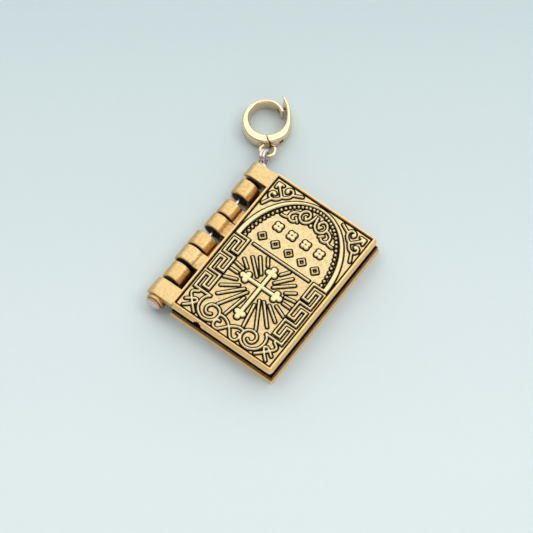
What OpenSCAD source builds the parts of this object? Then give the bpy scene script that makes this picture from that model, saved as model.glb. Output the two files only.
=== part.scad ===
// Book locket charm: a hinged cast book with one inner page, carried by a ring clasp.
// It lies on its back cover. +Z is up, +Y runs along the spine towards the clasp and
// +X runs from the spine to the fore edge. Sizes are millimetres.

/* [Covers] */
// Height of both covers, along the spine
cover_h = 30; // [29.4:0.1:30.6]
// Width of both covers
cover_w = 20.8; // [20.4:0.1:21.2]
// How far the back cover stands out past the front one at the fore edge
back_lap = 0.42; // [0.3:0.02:0.5]
// Thickness of the closed book
book_t = 4.5; // [4.5:0.05:4.7]
// Thickness of each cover
plate_t = 1.45; // [1.3:0.05:1.5]
// Thickness of the inner page
leaf_t = 0.9; // [0.7:0.05:0.9]
// How far the page's edges lie inside the covers' edges
leaf_inset = 0.8; // [0.5:0.1:1.2]
// Corner radius of the covers
corner_r = 0.45; // [0.3:0.05:0.8]

/* [Hinge] */
// Radius of the hinge barrels
barrel_r = 2.22; // [2.15:0.01:2.22]
// Distance from a barrel to the edge of a cover beside it
barrel_gap = 0.33; // [0.3:0.01:0.4]
// Diameter of the pin's wire
wire_d = 0.58; // [0.5:0.02:0.6]
// Radial clearance of the pin in the barrels
bore_clear = 0.05; // [0.03:0.01:0.08]
// Radius of the domed head at the foot of the pin
head_r = 1.45; // [1.2:0.05:1.5]

/* [Relief] */
// Height of the raised ornament over the field
relief_h = 0.3; // [0.2:0.05:0.35]
// Width of the raised lines
line_w = 0.38; // [0.3:0.02:0.4]
// Width of the flat rim round the front cover
rim_w = 0.66; // [0.5:0.02:0.7]
// Number of beads in the arch
bead_count = 39; // [31:2:41]
// Diameter of one bead
bead_d = 0.44; // [0.3:0.02:0.5]

/* [Clasp] */
// Height of the clasp's band
band_h = 2.6; // [2.4:0.1:2.8]
// Radius of the chain opening in the fixed half
opening_r = 3.05; // [2.98:0.01:3.08]
// Radius of the wire of the small cast loop
loop_wire_r = 0.37; // [0.3:0.01:0.37]
// Radius of the snap stud's ball
stud_r = 0.3; // [0.22:0.02:0.32]

/* [Hidden] */
$fn = 48;

GOLD = "darkgoldenrod";
PALE_GOLD = "palegoldenrod";
WIRE = "thistle";

// Sizes that the drawing of the cover was laid out at: its own scale factors follow
DRAWN_W = 20.8;
DRAWN_H = 30;
kx = cover_w / DRAWN_W;
ky = cover_h / DRAWN_H;

field_z = book_t - relief_h;
front_z = book_t - plate_t;
pin_x = -(barrel_r + barrel_gap);
pin_z = book_t - barrel_r;
leaf_z = pin_z - leaf_t / 2;
wire_r = wire_d / 2;
bore_r = wire_r + bore_clear;
end_lap = back_lap / 2;   // and at its foot and head
cut = 0.5;    // how far cutters reach past the solid that they cut
sink = 0.1;   // how deep raised pieces root in the field

// Barrels from the foot of the spine to the clasp: owner, start, length, kind, how much
// smaller than barrel_r, and how far a tab's top lies below the cover's top.
// A strap lies flush with its cover and curls over its barrel.
OWNER = 0;
START = 1;
LENGTH = 2;
KIND = 3;
LESS = 4;
DROP = 5;
BARRELS = [
    ["front", -0.10, 3.25, "strap", 0.55, 0],
    ["back", 3.90, 3.25, "strap", 0.3, 0],
    ["front", 7.72, 2.98, "tab", 0, 0.6],
    ["leaf", 11.05, 2.83, "tab", 0.02, 0],
    ["front", 15.30, 2.82, "tab", 0.3, 1],
    ["leaf", 18.52, 2.83, "tab", 0.46, 0],
    ["back", 22.82, 3.08, "strap", 0.25, 0],
    ["front", 26.50, 2.95, "strap", 0.55, 0]
];
foot_reach = 0.65; // how far the first barrel stands out past its strap
tab_reach = 0.6;   // how far straps and tabs run into their plate

// Domed head of the pin, against the first barrel
head_play = 0.05;
head_edge = 0.2;
head_dome = 0.5;

// Clasp: the ring lies flat, turned so that its small loop meets the spine.
// Places in the clasp are [u, v] about the centre of the chain opening.
clasp_turn = 36.7;
clasp_at = [-7.82, 37.65];
clasp_z = 0.04;
ring_c = [-0.2, -0.42];      // centre of the thick part's outside
ring_r = 4.12;
opening_c = [-0.14, 0];
end_c = [-0.14, 0.593];      // centre of the thinner free end
end_r = 3.107;
end_inner_r = 2.457;
end_angle = 19;
lever_low_c = [-0.05, -0.42];
lever_low_r = 4.12;
lever_high_c = [-3.93, 0.3];
lever_high_r = 7.98;
lever_in_low_c = [0.1, 0.06];
lever_in_low_r = 3.12;
lever_in_high_c = [-2.6, 1.1];
lever_in_high_r = 5.83;
lever_low_top = 0.1;         // height where the lever's outside changes arc
lever_in_top = 0.4;          // and where its inside does
tip_c = [2.92, 3.85];        // rounded thumb tip
tip_r = 0.36;
pivot = [1.6, -3.2];
rivet_r = 0.25;
rivet_clear = 0.03;
rivet_skin = 0.2;            // metal left over the ends of the rivet
tongue_t = 0.8;
tongue_gap = 0.1;
tongue_r = 0.6;
slot_reach = 0.75;           // from the pivot to the end of the lever's slot
cheek_r = 1.68;              // round end of the lever's cheeks
cheek_gap = 0.1;
stud_at = [2.78, 2.43];
stud_neck_r = 0.18;
stud_neck = 0.55;
snap_angle = 4;              // the lever stands open by this much
snap_hole_r = 0.45;
loop_c = [0.05, -5.33];
loop_mean_r = 1.25;

// Eye of the pin: it stands nearly upright and passes through the small loop
eye_r = 1.38;
eye_reach = 1.68;            // from the middle of the small loop to that of the eye
eye_lean = 30;               // turned to the left of the spine
eye_tilt = 18;
eye_z = 1.72;
stem_y = 0.3;                // start of the bent stem past the top of the covers
stem_angle = 152;            // where the stem meets the eye's circle

function turned(p, a) = [p[0] * cos(a) - p[1] * sin(a), p[0] * sin(a) + p[1] * cos(a)];
function clasp_point(p) = clasp_at + turned(p, clasp_turn);

loop_xy = clasp_point(loop_c);
eye_dir = [-sin(eye_lean), cos(eye_lean)];
eye_xy = loop_xy - eye_reach * eye_dir;

// The box's middle goes to the origin
x_low = clasp_point(ring_c)[0] - ring_r;
head_back = BARRELS[0][START] * ky - foot_reach - head_play;
y_low = head_back - head_edge - head_dome;
y_high = clasp_point(tip_c)[1] + tip_r;
centre = [-(x_low + cover_w + back_lap) / 2, -(y_low + y_high) / 2, 0];

// Points of outlines

function arc(c, r, a, b, n) = [for (i = [0 : n]) c + r * [cos(a + (b - a) * i / n),
                                                          sin(a + (b - a) * i / n)]];
function oval(a, b, n, from, to) = [for (i = [0 : n])
    let (t = from + (to - from) * i / n) [a * cos(t), b * sin(t)]];

// Rounded curve through hand-set points, n steps from each to the next
function knot(p, i) = p[max(0, min(len(p) - 1, i))];
function bend(a, b, c, d, t) = 0.5 * ((2 * b) + (c - a) * t + (2 * a - 5 * b + 4 * c - d) * t * t
    + (3 * b - a - 3 * c + d) * t * t * t);
function curve(p, n) = concat(
    [for (i = [0 : len(p) - 2], j = [0 : n - 1])
        bend(knot(p, i - 1), p[i], p[i + 1], knot(p, i + 2), j / n)],
    [p[len(p) - 1]]);

// Outline of a line of width w along the points p, with mitred corners
function unit(v) = v / norm(v);
function side(p, i, w) =
    let (a = i == 0 ? unit(p[1] - p[0]) : unit(p[i] - p[i - 1]),
         b = i == len(p) - 1 ? a : unit(p[i + 1] - p[i]),
         m = unit(a + b))
    [-m[1], m[0]] * (w / 2) / max(0.35, m * a);
function outline(p, w) = concat(
    [for (i = [0 : len(p) - 1]) p[i] + side(p, i, w)],
    [for (i = [len(p) - 1 : -1 : 0]) p[i] - side(p, i, w)]);

function rounded(w, h, r) = concat(
    arc([w - r, r], r, -90, 0, 4), arc([w - r, h - r], r, 0, 90, 4),
    arc([r, h - r], r, 90, 180, 4), arc([r, r], r, 180, 270, 4));

module plate(w, h, r, t) {
    linear_extrude(t) polygon(rounded(w, h, r));
}

// Barrels and bores

// Cylinder along the pin, from low to high
module along_pin(low, high, r) {
    translate([pin_x, high, pin_z]) rotate([90, 0, 0]) cylinder(h = high - low, r = r);
}

function low_end(b) = b[START] * ky;
function high_end(b) = (b[START] + b[LENGTH]) * ky;

module barrel(b) {
    past = b == BARRELS[0] ? foot_reach : 0;
    along_pin(low_end(b) - past, high_end(b), barrel_r - b[LESS]);
}

// The part of a strap that curls over its barrel, between the heights low and high
module strap_curl(b, low, high) {
    intersection() {
        along_pin(low_end(b), high_end(b), barrel_r);
        translate([pin_x - 2 * barrel_r, low_end(b) - cut, low])
            cube([4 * barrel_r, high_end(b) - low_end(b) + 2 * cut, high - low]);
    }
}

module bore() {
    along_pin(head_back - cut, cover_h + cut, bore_r);
}

// Flat link from a plate to a barrel, between the heights low and high
module link(b, from_x, low, high) {
    translate([from_x, b[START] * ky, low])
        cube([tab_reach - from_x, b[LENGTH] * ky, high - low]);
}

// Relief of the front cover. Places are [x from the middle, y from the foot].

module raised(p, w, h) {
    translate([0, 0, -sink]) linear_extrude(h + sink)
        polygon(outline([for (q = p) [q[0] * kx, q[1] * ky]], w));
}

module both_sides() {
    children();
    mirror([1, 0, 0]) children();
}

arch_foot = 17.1;
arch_a = 9.35;
arch_b = 11.75;
arch_in_a = 8.53;
arch_in_b = 11.32;
bead_a = 7.84;
bead_b = 10.95;
key_x = [-6.69, -7.84, -8.89];
key_pitch = 3.96;
key_down = 3.09;
key_up = 1.08;
key_units = 3;
scroll_h = relief_h - 0.02;   // the curls are a little lower, so crossings stay clean
curl_n = 4;

module arch_band() {
    steps = 40;
    outside = oval(arch_a * kx, arch_b * ky, steps, 0, 180);
    inside = oval(arch_in_a * kx, arch_in_b * ky, steps, 180, 0);
    translate([0, arch_foot * ky, -sink]) linear_extrude(relief_h + sink)
        polygon(concat(outside, inside));
}

module beads() {
    for (i = [0 : bead_count - 1]) {
        t = 180 * (i + 0.5) / bead_count;
        translate([bead_a * kx * cos(t), arch_foot * ky + bead_b * ky * sin(t), -sink])
            cylinder(h = relief_h * 0.8 + sink, d = bead_d, $fn = 10);
    }
}

// One side of the meander: three hooks, from the foot of the arch down to the curl
module meander() {
    top = arch_foot - 0.1;
    hooks = [for (u = [0 : key_units - 1]) let (y = top - u * key_pitch)
        each [[key_x[0], y], [key_x[0], y - key_down], [key_x[1], y - key_down],
              [key_x[1], y - key_up], [key_x[2], y - key_up], [key_x[2], y - key_pitch]]];
    foot = top - key_units * key_pitch;
    raised(concat([[-arch_a, top]], hooks, [[-5.8, foot]]), line_w, relief_h);
}

// Rays round the cross, left side: [outer end, inner end]
RAYS = [
    [[-2.20, 16.30], [-1.30, 15.05]], [[-3.35, 15.65], [-1.35, 13.25]],
    [[-4.35, 14.90], [-1.65, 12.50]], [[-5.30, 13.85], [-3.90, 12.85]],
    [[-6.05, 12.55], [-4.30, 12.25]], [[-6.05, 11.15], [-4.70, 11.15]],
    [[-6.10, 9.30], [-4.10, 10.10]], [[-5.60, 7.75], [-3.10, 9.50]],
    [[-5.10, 6.20], [-2.00, 9.50]], [[-3.90, 4.70], [-1.25, 9.25]],
    [[-1.85, 4.00], [-1.05, 8.15]]
];

cross_top = 15.6;
cross_foot = 4.3;
cross_arm = 4.25;
cross_y = 11.4;
cross_w = 0.68;
bud_r = 0.52;
bud_step = 0.8;
bud_spread = 0.55;   // from the arm's middle line to the outer buds
neck_w = 1;          // block behind the buds
neck_reach = 0.3;
arm_lap = 1;         // how far the arms end inside the tips
layer_step = 0.005;  // crossing pieces differ this much in height, so none are coplanar

module bud() {
    translate([-bud_r, 0, 0]) cylinder(h = relief_h + sink, r = bud_r, $fn = 24);
    for (s = [-1, 1]) translate([-bud_r - bud_step, s * bud_spread, 0])
        cylinder(h = relief_h + sink - 2 * layer_step, r = bud_r, $fn = 24);
    translate([-bud_r - bud_step - neck_reach, -neck_w / 2, 0])
        cube([bud_step + neck_reach, neck_w, relief_h + sink - 3 * layer_step]);
}

module budded_cross() {
    translate([0, 0, -sink]) {
        translate([-cross_w / 2, (cross_foot + arm_lap) * ky, 0])
            cube([cross_w, (cross_top - cross_foot - 2 * arm_lap) * ky,
                  relief_h + sink - 4 * layer_step]);
        translate([-(cross_arm - arm_lap) * kx, cross_y * ky - cross_w / 2, 0])
            cube([2 * (cross_arm - arm_lap) * kx, cross_w, relief_h + sink - 5 * layer_step]);
        translate([cross_arm * kx, cross_y * ky, 0]) bud();
        translate([-cross_arm * kx, cross_y * ky, 0]) rotate(180) bud();
        translate([0, cross_top * ky, 0]) rotate(90) bud();
        translate([0, cross_foot * ky, 0]) rotate(-90) bud();
    }
}

// Left halves of the curls over the arch's field, at its foot and in the corners
TOP_CURL = [[-1.15, 25.85], [-0.95, 26.35], [-1.30, 27.00], [-1.95, 27.05], [-2.50, 26.55],
            [-2.60, 25.85], [-2.25, 25.20], [-1.55, 24.90], [-0.90, 25.20], [-0.45, 25.80],
            [-0.20, 27.05]];
TOP_HOOK = [[-2.60, 26.00], [-3.30, 25.85], [-3.90, 25.35], [-4.00, 24.70], [-3.65, 24.15],
            [-3.05, 24.05], [-2.70, 24.30]];
TOP_TAIL = [[-3.95, 24.45], [-4.45, 24.10], [-5.20, 24.05]];
FOOT_CURL = [[-5.75, 5.15], [-6.30, 4.50], [-6.50, 3.60], [-6.30, 2.50], [-5.55, 1.65],
             [-4.50, 1.20], [-3.45, 1.40], [-2.70, 2.05], [-2.45, 3.00], [-2.85, 3.90],
             [-3.70, 4.25], [-4.60, 4.05], [-5.00, 3.35], [-4.85, 2.65], [-4.30, 2.35],
             [-3.75, 2.60]];
FOOT_LINK = [[-2.50, 3.35], [-1.70, 3.45], [-0.80, 3.15], [0, 2.55], [0.65, 1.80],
             [1.35, 1.05], [2.10, 1.05], [2.50, 1.65], [2.35, 2.30], [1.85, 2.45]];
CORNER_CURL = [[-6.80, 27.75], [-7.00, 28.10], [-6.75, 28.50], [-6.20, 28.60], [-5.80, 28.15],
               [-5.90, 27.40], [-6.40, 26.85], [-7.00, 26.50]];
CORNER_STEM = [[-8.65, 28.15], [-7.00, 26.50]];
CORNER_BAR = [[-5.65, 27.95], [-4.20, 28.65]];
KNOT_LONG = [[-7.75, 5.10], [-7.80, 4.70], [-8.55, 4.20], [-8.55, 3.65], [-7.90, 2.90],
             [-7.10, 2.05], [-6.20, 1.20]];
KNOT_CROSS = [[-8.80, 2.40], [-7.95, 3.00], [-7.30, 3.35], [-6.90, 3.05], [-7.20, 2.50],
              [-7.75, 1.90], [-8.45, 1.25]];

// The corner curls come in pairs, mirrored about the cover's diagonal at the corner
corner_x = -9.74;
corner_y = 29.34;
function across(p) = [for (q = p) [corner_x + (corner_y - q[1]), corner_y - (q[0] - corner_x)]];

module curls() {
    raised(curve(TOP_CURL, curl_n), line_w, scroll_h);
    raised(curve(TOP_HOOK, curl_n), line_w, scroll_h - 0.01);
    raised(curve(TOP_TAIL, curl_n), line_w, scroll_h - 0.02);
    raised(curve(FOOT_CURL, curl_n), line_w, scroll_h - 0.01);
    raised(curve(FOOT_LINK, curl_n), line_w, scroll_h - 0.03);
    raised(curve(CORNER_CURL, curl_n), line_w, scroll_h);
    raised(curve(across(CORNER_CURL), curl_n), line_w, scroll_h - 0.01);
    raised(CORNER_STEM, line_w, scroll_h - 0.02);
    raised(CORNER_BAR, line_w, scroll_h - 0.02);
    raised(across(CORNER_BAR), line_w, scroll_h - 0.02);
    raised([[-8.90, 27.55], [-8.90, 28.45], [-7.95, 28.45]], line_w, scroll_h - 0.03);
    raised(curve(KNOT_LONG, curl_n), line_w, scroll_h);
    raised(curve(KNOT_CROSS, curl_n), line_w, scroll_h - 0.02);
}

// Two rows of plain flowers over lozenges between the curls and the bar
flower_x = [-4.2, -1.4];
flower_y = 21.9;
flower_r = 0.42;
petal_step = 1.15;   // petals' distance from the middle, in petal radii
lozenge_x = [-5.4, -2.7];
lozenge_y = 19.0;
lozenge_a = 1.2;
lozenge_w = 0.3;

module flower(x) {
    translate([x * kx, flower_y * ky, -sink]) for (a = [45 : 90 : 315])
        rotate(a) translate([flower_r * petal_step, 0, 0])
            cylinder(h = relief_h + sink, r = flower_r, $fn = 12);
}

module lozenge(x) {
    inner = lozenge_a - 2 * lozenge_w;
    translate([x * kx, lozenge_y * ky, -sink]) rotate(45) difference() {
        translate([-lozenge_a / 2, -lozenge_a / 2, 0]) cube([lozenge_a, lozenge_a, relief_h + sink]);
        translate([-inner / 2, -inner / 2, -sink]) cube([inner, inner, relief_h + 4 * sink]);
    }
}

bar_y = 16.95;
bar_half = 5.6;

module relief() {
    arch_band();
    beads();
    budded_cross();
    raised([[-bar_half, bar_y], [bar_half, bar_y]], line_w, relief_h - 0.01);
    lozenge(0);
    both_sides() {
        meander();
        for (r = RAYS) raised(r, line_w, relief_h - 0.03);
        curls();
        for (x = flower_x) flower(x);
        for (x = lozenge_x) lozenge(x);
    }
}

// The pieces

notch_x = 5.75;
notch_r = 0.75;
notch_depth = 0.45;

module front_cover() {
    color(GOLD) translate(centre) difference() {
        union() {
            translate([0, 0, front_z]) plate(cover_w, cover_h, corner_r, plate_t - relief_h);
            difference() {
                translate([0, 0, field_z - sink])
                    plate(cover_w, cover_h, corner_r, relief_h + sink);
                translate([rim_w, rim_w, field_z - 2 * sink])
                    cube([cover_w - 2 * rim_w, cover_h - 2 * rim_w, relief_h + 4 * sink]);
            }
            translate([cover_w / 2, 0, field_z]) relief();
            for (b = BARRELS) if (b[OWNER] == "front") {
                barrel(b);
                if (b[KIND] == "strap") {
                    strap_curl(b, front_z, book_t + cut);
                    link(b, pin_x, front_z, book_t);
                } else link(b, pin_x / 2, front_z, book_t - b[DROP]);
            }
        }
        bore();
        translate([notch_x * kx, notch_depth, front_z]) rotate([90, 0, 0])
            cylinder(h = notch_depth + cut, r = notch_r);
    }
}

module back_cover() {
    color(GOLD) translate(centre) difference() {
        union() {
            translate([0, -end_lap, 0])
                plate(cover_w + back_lap, cover_h + 2 * end_lap, corner_r, plate_t);
            for (b = BARRELS) if (b[OWNER] == "back") {
                barrel(b);
                strap_curl(b, -cut, plate_t);
                link(b, pin_x, 0, plate_t);
            }
        }
        bore();
    }
}

module inner_leaf() {
    color(GOLD) translate(centre) difference() {
        union() {
            translate([0, leaf_inset, leaf_z])
                plate(cover_w - leaf_inset, cover_h - 2 * leaf_inset, corner_r, leaf_t);
            for (b = BARRELS) if (b[OWNER] == "leaf") {
                barrel(b);
                link(b, pin_x / 2, leaf_z, leaf_z + leaf_t);
            }
        }
        bore();
    }
}

// Rod of radius r from one place to another
module rod(p, q, r) {
    v = q - p;
    translate(p) rotate([0, acos(v[2] / norm(v)), atan2(v[1], v[0])]) cylinder(h = norm(v), r = r);
}

module hinge_pin() {
    dome_r = (pow(head_r, 2) + pow(head_dome, 2)) / (2 * head_dome);
    bend_at = [pin_x, cover_h + stem_y, pin_z];
    // A point of the eye's circle: along the lean, then up the tilted plane
    out = eye_r * cos(stem_angle);
    rise = eye_r * sin(stem_angle);
    tilt_xy = -turned([1, 0], clasp_turn) * sin(eye_tilt);
    meet_xy = eye_xy + eye_dir * out + tilt_xy * rise;
    meet = [meet_xy[0], meet_xy[1], eye_z + rise * cos(eye_tilt)];
    color(WIRE) translate(centre) {
        along_pin(head_back - head_edge, bend_at[1], wire_r);
        translate(bend_at) sphere(r = wire_r);
        rod(bend_at, meet, wire_r);
        intersection() {
            translate([pin_x, y_low + dome_r, pin_z]) sphere(r = dome_r);
            along_pin(y_low - cut, head_back, head_r);
        }
        translate([eye_xy[0], eye_xy[1], eye_z]) rotate([0, 0, 90 + eye_lean])
            rotate([90 - eye_tilt, 0, 0])
                rotate_extrude() translate([eye_r, 0]) circle(r = wire_r, $fn = 24);
    }
}

// Clasp

module clasp_frame() {
    translate(centre) translate([clasp_at[0], clasp_at[1], clasp_z]) rotate(clasp_turn) children();
}

far = 9;             // past every outline of the clasp
below = -2;          // cuts between the halves run down from here
left_lap = -0.6;     // how far the lever's side of the clasp laps the fixed half
end_root = 0.05;     // the thin end laps the thick part by this much
tongue_skin = 0.03;  // the tongue stays this far inside the lever's outside
tongue_in = 0.05;    // and this far inside its inside
cheek_core = 0.3;    // the joint's middle is cut back this much less than its cheeks

// Radial and tangent directions of the band at the pivot
pivot_out = unit(pivot - lever_low_c);
pivot_on = [-pivot_out[1], pivot_out[0]];

// Thick part of the fixed half, up to the pivot
module ring_band() {
    difference() {
        intersection() {
            translate(ring_c) circle(r = ring_r, $fn = 96);
            polygon([[ring_c[0], far], [-far, far], [-far, -far], [pivot[0], -far],
                     [pivot[0], below], [ring_c[0], below]]);
        }
        translate(opening_c) circle(r = opening_r, $fn = 96);
    }
}

// Thinner free end, with a round nose
module ring_end() {
    mean = (end_r + end_inner_r) / 2;
    way = [cos(end_angle), sin(end_angle)];
    start_u = ring_c[0] - end_root;
    difference() {
        intersection() {
            translate(end_c) circle(r = end_r, $fn = 96);
            polygon([[start_u, end_c[1]], end_c, end_c + far * way, [far, far], [start_u, far]]);
        }
        translate(end_c) circle(r = end_inner_r, $fn = 96);
    }
    translate(end_c + mean * way) circle(r = (end_r - end_inner_r) / 2, $fn = 32);
}

// Tongue of the clasp's hinge, between the lever's cheeks
module tongue() {
    difference() {
        intersection() {
            translate(lever_low_c) circle(r = lever_low_r - tongue_skin, $fn = 96);
            polygon([[left_lap, below], pivot - 2 * pivot_out, pivot + 2 * pivot_out,
                     [left_lap, -far]]);
        }
        translate(lever_in_low_c) circle(r = lever_in_low_r + tongue_in, $fn = 96);
    }
    translate(pivot) circle(r = tongue_r, $fn = 48);
}

module clasp_ring() {
    closed_stud = pivot + turned(stud_at - pivot, snap_angle);
    hole_dir = closed_stud - end_c;
    shoulder = (band_h - tongue_t) / 2;
    color(PALE_GOLD) clasp_frame() difference() {
        union() {
            difference() {
                linear_extrude(band_h) ring_band();
                for (z = [-cut, band_h - shoulder]) translate([pivot[0], pivot[1], z])
                    cylinder(h = shoulder + cut, r = cheek_r + cheek_gap);
                translate([pivot[0], pivot[1], -cut])
                    cylinder(h = band_h + 2 * cut, r = cheek_r - cheek_core);
            }
            linear_extrude(band_h) ring_end();
            translate([0, 0, (band_h - tongue_t) / 2]) linear_extrude(tongue_t) tongue();
            translate([loop_c[0], loop_c[1], band_h / 2]) rotate_extrude()
                translate([loop_mean_r, 0]) circle(r = loop_wire_r, $fn = 24);
        }
        translate([pivot[0], pivot[1], -cut]) cylinder(h = band_h + 2 * cut, r = rivet_r + rivet_clear);
        translate([end_c[0], end_c[1], band_h / 2]) rotate([0, 90, atan2(hole_dir[1], hole_dir[0])])
            cylinder(h = far, r = snap_hole_r);
    }
}

module lever_outline() {
    difference() {
        union() {
            intersection() {
                translate(lever_low_c) circle(r = lever_low_r, $fn = 96);
                polygon([[left_lap, -far], [far, -far], [far, lever_low_top], [0, lever_low_top],
                         [0, below], [left_lap, below]]);
            }
            intersection() {
                translate(lever_high_c) circle(r = lever_high_r, $fn = 128);
                polygon([[0, lever_low_top], [far, lever_low_top], [far, tip_c[1]], [0, tip_c[1]]]);
            }
        }
        intersection() {
            translate(lever_in_low_c) circle(r = lever_in_low_r, $fn = 96);
            translate([-far, -far]) square([2 * far, far + lever_in_top]);
        }
        intersection() {
            translate(lever_in_high_c) circle(r = lever_in_high_r, $fn = 128);
            translate([-far, lever_in_top - 0.01]) square([2 * far, far]);
        }
    }
    translate(tip_c) circle(r = tip_r, $fn = 32);
}

module clasp_lever() {
    slot_t = tongue_t + 2 * tongue_gap;
    color(PALE_GOLD) clasp_frame() {
        difference() {
            linear_extrude(band_h) lever_outline();
            // Left of the pivot only the round cheeks stay
            difference() {
                translate([-far, -far, -cut])
                    cube([far + pivot[0], far + below, band_h + 2 * cut]);
                translate([pivot[0], pivot[1], -2 * cut])
                    cylinder(h = band_h + 4 * cut, r = cheek_r);
            }
            // Slot for the tongue, square to the band at its end
            translate([pivot[0], pivot[1], (band_h - slot_t) / 2])
                rotate(atan2(pivot_on[1], pivot_on[0]))
                    translate([slot_reach - far, -2, 0]) cube([far, 4, slot_t]);
            translate([pivot[0], pivot[1], rivet_skin])
                cylinder(h = band_h - 2 * rivet_skin, r = rivet_r + rivet_clear);
        }
        translate([stud_at[0], stud_at[1], band_h / 2]) {
            sphere(r = stud_r);
            rotate([0, 90, 0]) cylinder(h = stud_neck, r = stud_neck_r);
        }
    }
}

module clasp_rivet() {
    skin = rivet_skin + 0.05;
    color(PALE_GOLD) clasp_frame() translate([pivot[0], pivot[1], skin])
        cylinder(h = band_h - 2 * skin, r = rivet_r);
}

front_cover();
back_cover();
inner_leaf();
hinge_pin();
clasp_ring();
clasp_lever();
clasp_rivet();
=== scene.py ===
"""Book locket charm: the looks of a hinged cast book, the wire of its hinge and its ring clasp.

Sizes are millimetres. Places are in the front cover's own frame: x from its spine edge,
y from its foot edge, z from the surface that the charm lies on.
"""
from math import atan2, cos, hypot, pi, radians, sin, sqrt

import bmesh
import bpy
import numpy as np
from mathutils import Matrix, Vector


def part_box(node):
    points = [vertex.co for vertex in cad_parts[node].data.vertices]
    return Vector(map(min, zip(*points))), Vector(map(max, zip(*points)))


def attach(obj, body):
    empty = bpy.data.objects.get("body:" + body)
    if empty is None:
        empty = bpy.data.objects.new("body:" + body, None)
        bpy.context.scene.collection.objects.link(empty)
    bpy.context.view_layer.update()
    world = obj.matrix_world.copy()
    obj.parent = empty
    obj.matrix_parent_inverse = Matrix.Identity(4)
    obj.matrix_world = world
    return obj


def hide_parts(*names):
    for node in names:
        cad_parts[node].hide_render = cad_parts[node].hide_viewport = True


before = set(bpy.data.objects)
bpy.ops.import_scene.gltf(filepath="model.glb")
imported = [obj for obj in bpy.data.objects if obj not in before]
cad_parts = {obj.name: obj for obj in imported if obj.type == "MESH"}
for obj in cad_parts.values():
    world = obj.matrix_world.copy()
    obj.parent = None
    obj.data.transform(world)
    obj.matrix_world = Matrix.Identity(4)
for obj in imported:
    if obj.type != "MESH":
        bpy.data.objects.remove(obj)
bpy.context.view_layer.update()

MM = 0.001
AZIMUTH = radians(36.676)    # how far the camera stands round to the right of the foot

# Main sizes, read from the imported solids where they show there
front_low, front_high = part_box("front_cover")
back_low, back_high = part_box("back_cover")
COVER_W = 20.8
BACK_LAP = 0.42
END_LAP = 0.21
COVER_H = (back_high.y - back_low.y) / MM - 2 * END_LAP
SPINE_X = back_high.x / MM - COVER_W - BACK_LAP
FOOT_Y = back_low.y / MM + END_LAP
TOP_Z = front_high.z / MM
PLATE_T = 1.45
FRONT_Z = TOP_Z - PLATE_T
RELIEF_H = 0.3
FIELD_Z = TOP_Z - RELIEF_H
CORNER_R = 0.45
RIM_W = 0.66
LEAF_T = 0.9
LEAF_INSET = 0.8

BARREL_R = 2.22
BARREL_GAP = 0.33
PIN_X = -(BARREL_R + BARREL_GAP)
PIN_Z = TOP_Z - BARREL_R
LEAF_Z = PIN_Z - LEAF_T / 2
WIRE_R = 0.29
BORE_R = 0.34
FOOT_REACH = 0.65

# Barrels from the foot of the spine to the clasp: owner, start, length, radius, and how far
# the top of the tab that holds it lies under the cover's top, or None for a flush strap
BARRELS = [
    ("front", -0.10, 3.25, BARREL_R - 0.55, None),
    ("back", 3.90, 3.25, BARREL_R - 0.3, None),
    ("front", 7.72, 2.98, BARREL_R, 0.6),
    ("leaf", 11.05, 2.83, BARREL_R - 0.02, 0),
    ("front", 15.30, 2.82, BARREL_R - 0.3, 1.0),
    ("leaf", 18.52, 2.83, BARREL_R - 0.46, 0),
    ("back", 22.82, 3.08, BARREL_R - 0.25, None),
    ("front", 26.50, 2.95, BARREL_R - 0.55, None),
]


# Small helpers for places and meshes

def place(points):
    """Millimetres in the cover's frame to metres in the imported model's frame."""
    return (np.asarray(points, float) + (SPINE_X, FOOT_Y, 0)) * MM


def make_piece(name, points, faces, material):
    """A smooth shaded mesh object from points in the cover's frame."""
    mesh = bpy.data.meshes.new(name)
    mesh.from_pydata(place(points).tolist(), [], faces)
    mesh.materials.append(material)
    mesh.shade_smooth()
    piece = bpy.data.objects.new(name, mesh)
    bpy.context.scene.collection.objects.link(piece)
    return piece


def crease(piece, degrees=35):
    """Keeps edges sharp where the surface turns by more than this."""
    piece.data.set_sharp_from_angle(angle=radians(degrees))


def bake_modifiers(piece):
    """Turns the piece's modifiers into its mesh."""
    seen = piece.evaluated_get(bpy.context.evaluated_depsgraph_get())
    mesh = bpy.data.meshes.new_from_object(seen)
    piece.modifiers.clear()
    piece.data = mesh


def trim(piece, operation, *others):
    """Cuts the other closed meshes out of the piece, or fuses them to it, and removes them."""
    for other in others:
        change = piece.modifiers.new(operation.lower(), "BOOLEAN")
        change.operation = operation
        change.solver = "EXACT"
        change.object = other
    bake_modifiers(piece)
    for other in others:
        bpy.data.objects.remove(other)


def rings_to_faces(rings, count, closed_ends=True):
    """Faces that join rings of count points each, with a face over each end."""
    faces = []
    for r in range(rings - 1):
        for i in range(count):
            j = (i + 1) % count
            faces.append((r * count + i, r * count + j, (r + 1) * count + j, (r + 1) * count + i))
    if closed_ends:
        faces.append(tuple(reversed(range(count))))
        faces.append(tuple(range((rings - 1) * count, rings * count)))
    return faces


def arc(cx, cy, r, start, end, steps):
    """Points of an arc, angles in degrees."""
    turn = [radians(start + (end - start) * i / steps) for i in range(steps + 1)]
    return [(cx + r * cos(t), cy + r * sin(t)) for t in turn]


def curve(points, steps=6):
    """Smooth line through given points."""
    p = [np.array(q, float) for q in points]
    p = [p[0]] + p + [p[-1]]
    line = []
    for a, b, c, d in zip(p[:-3], p[1:-2], p[2:-1], p[3:]):
        for t in np.arange(steps) / steps:
            line.append(0.5 * (2 * b + (c - a) * t + (2 * a - 5 * b + 4 * c - d) * t * t
                               + (3 * b - a - 3 * c + d) * t ** 3))
    return line + [p[-1]]


# Finishes

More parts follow.
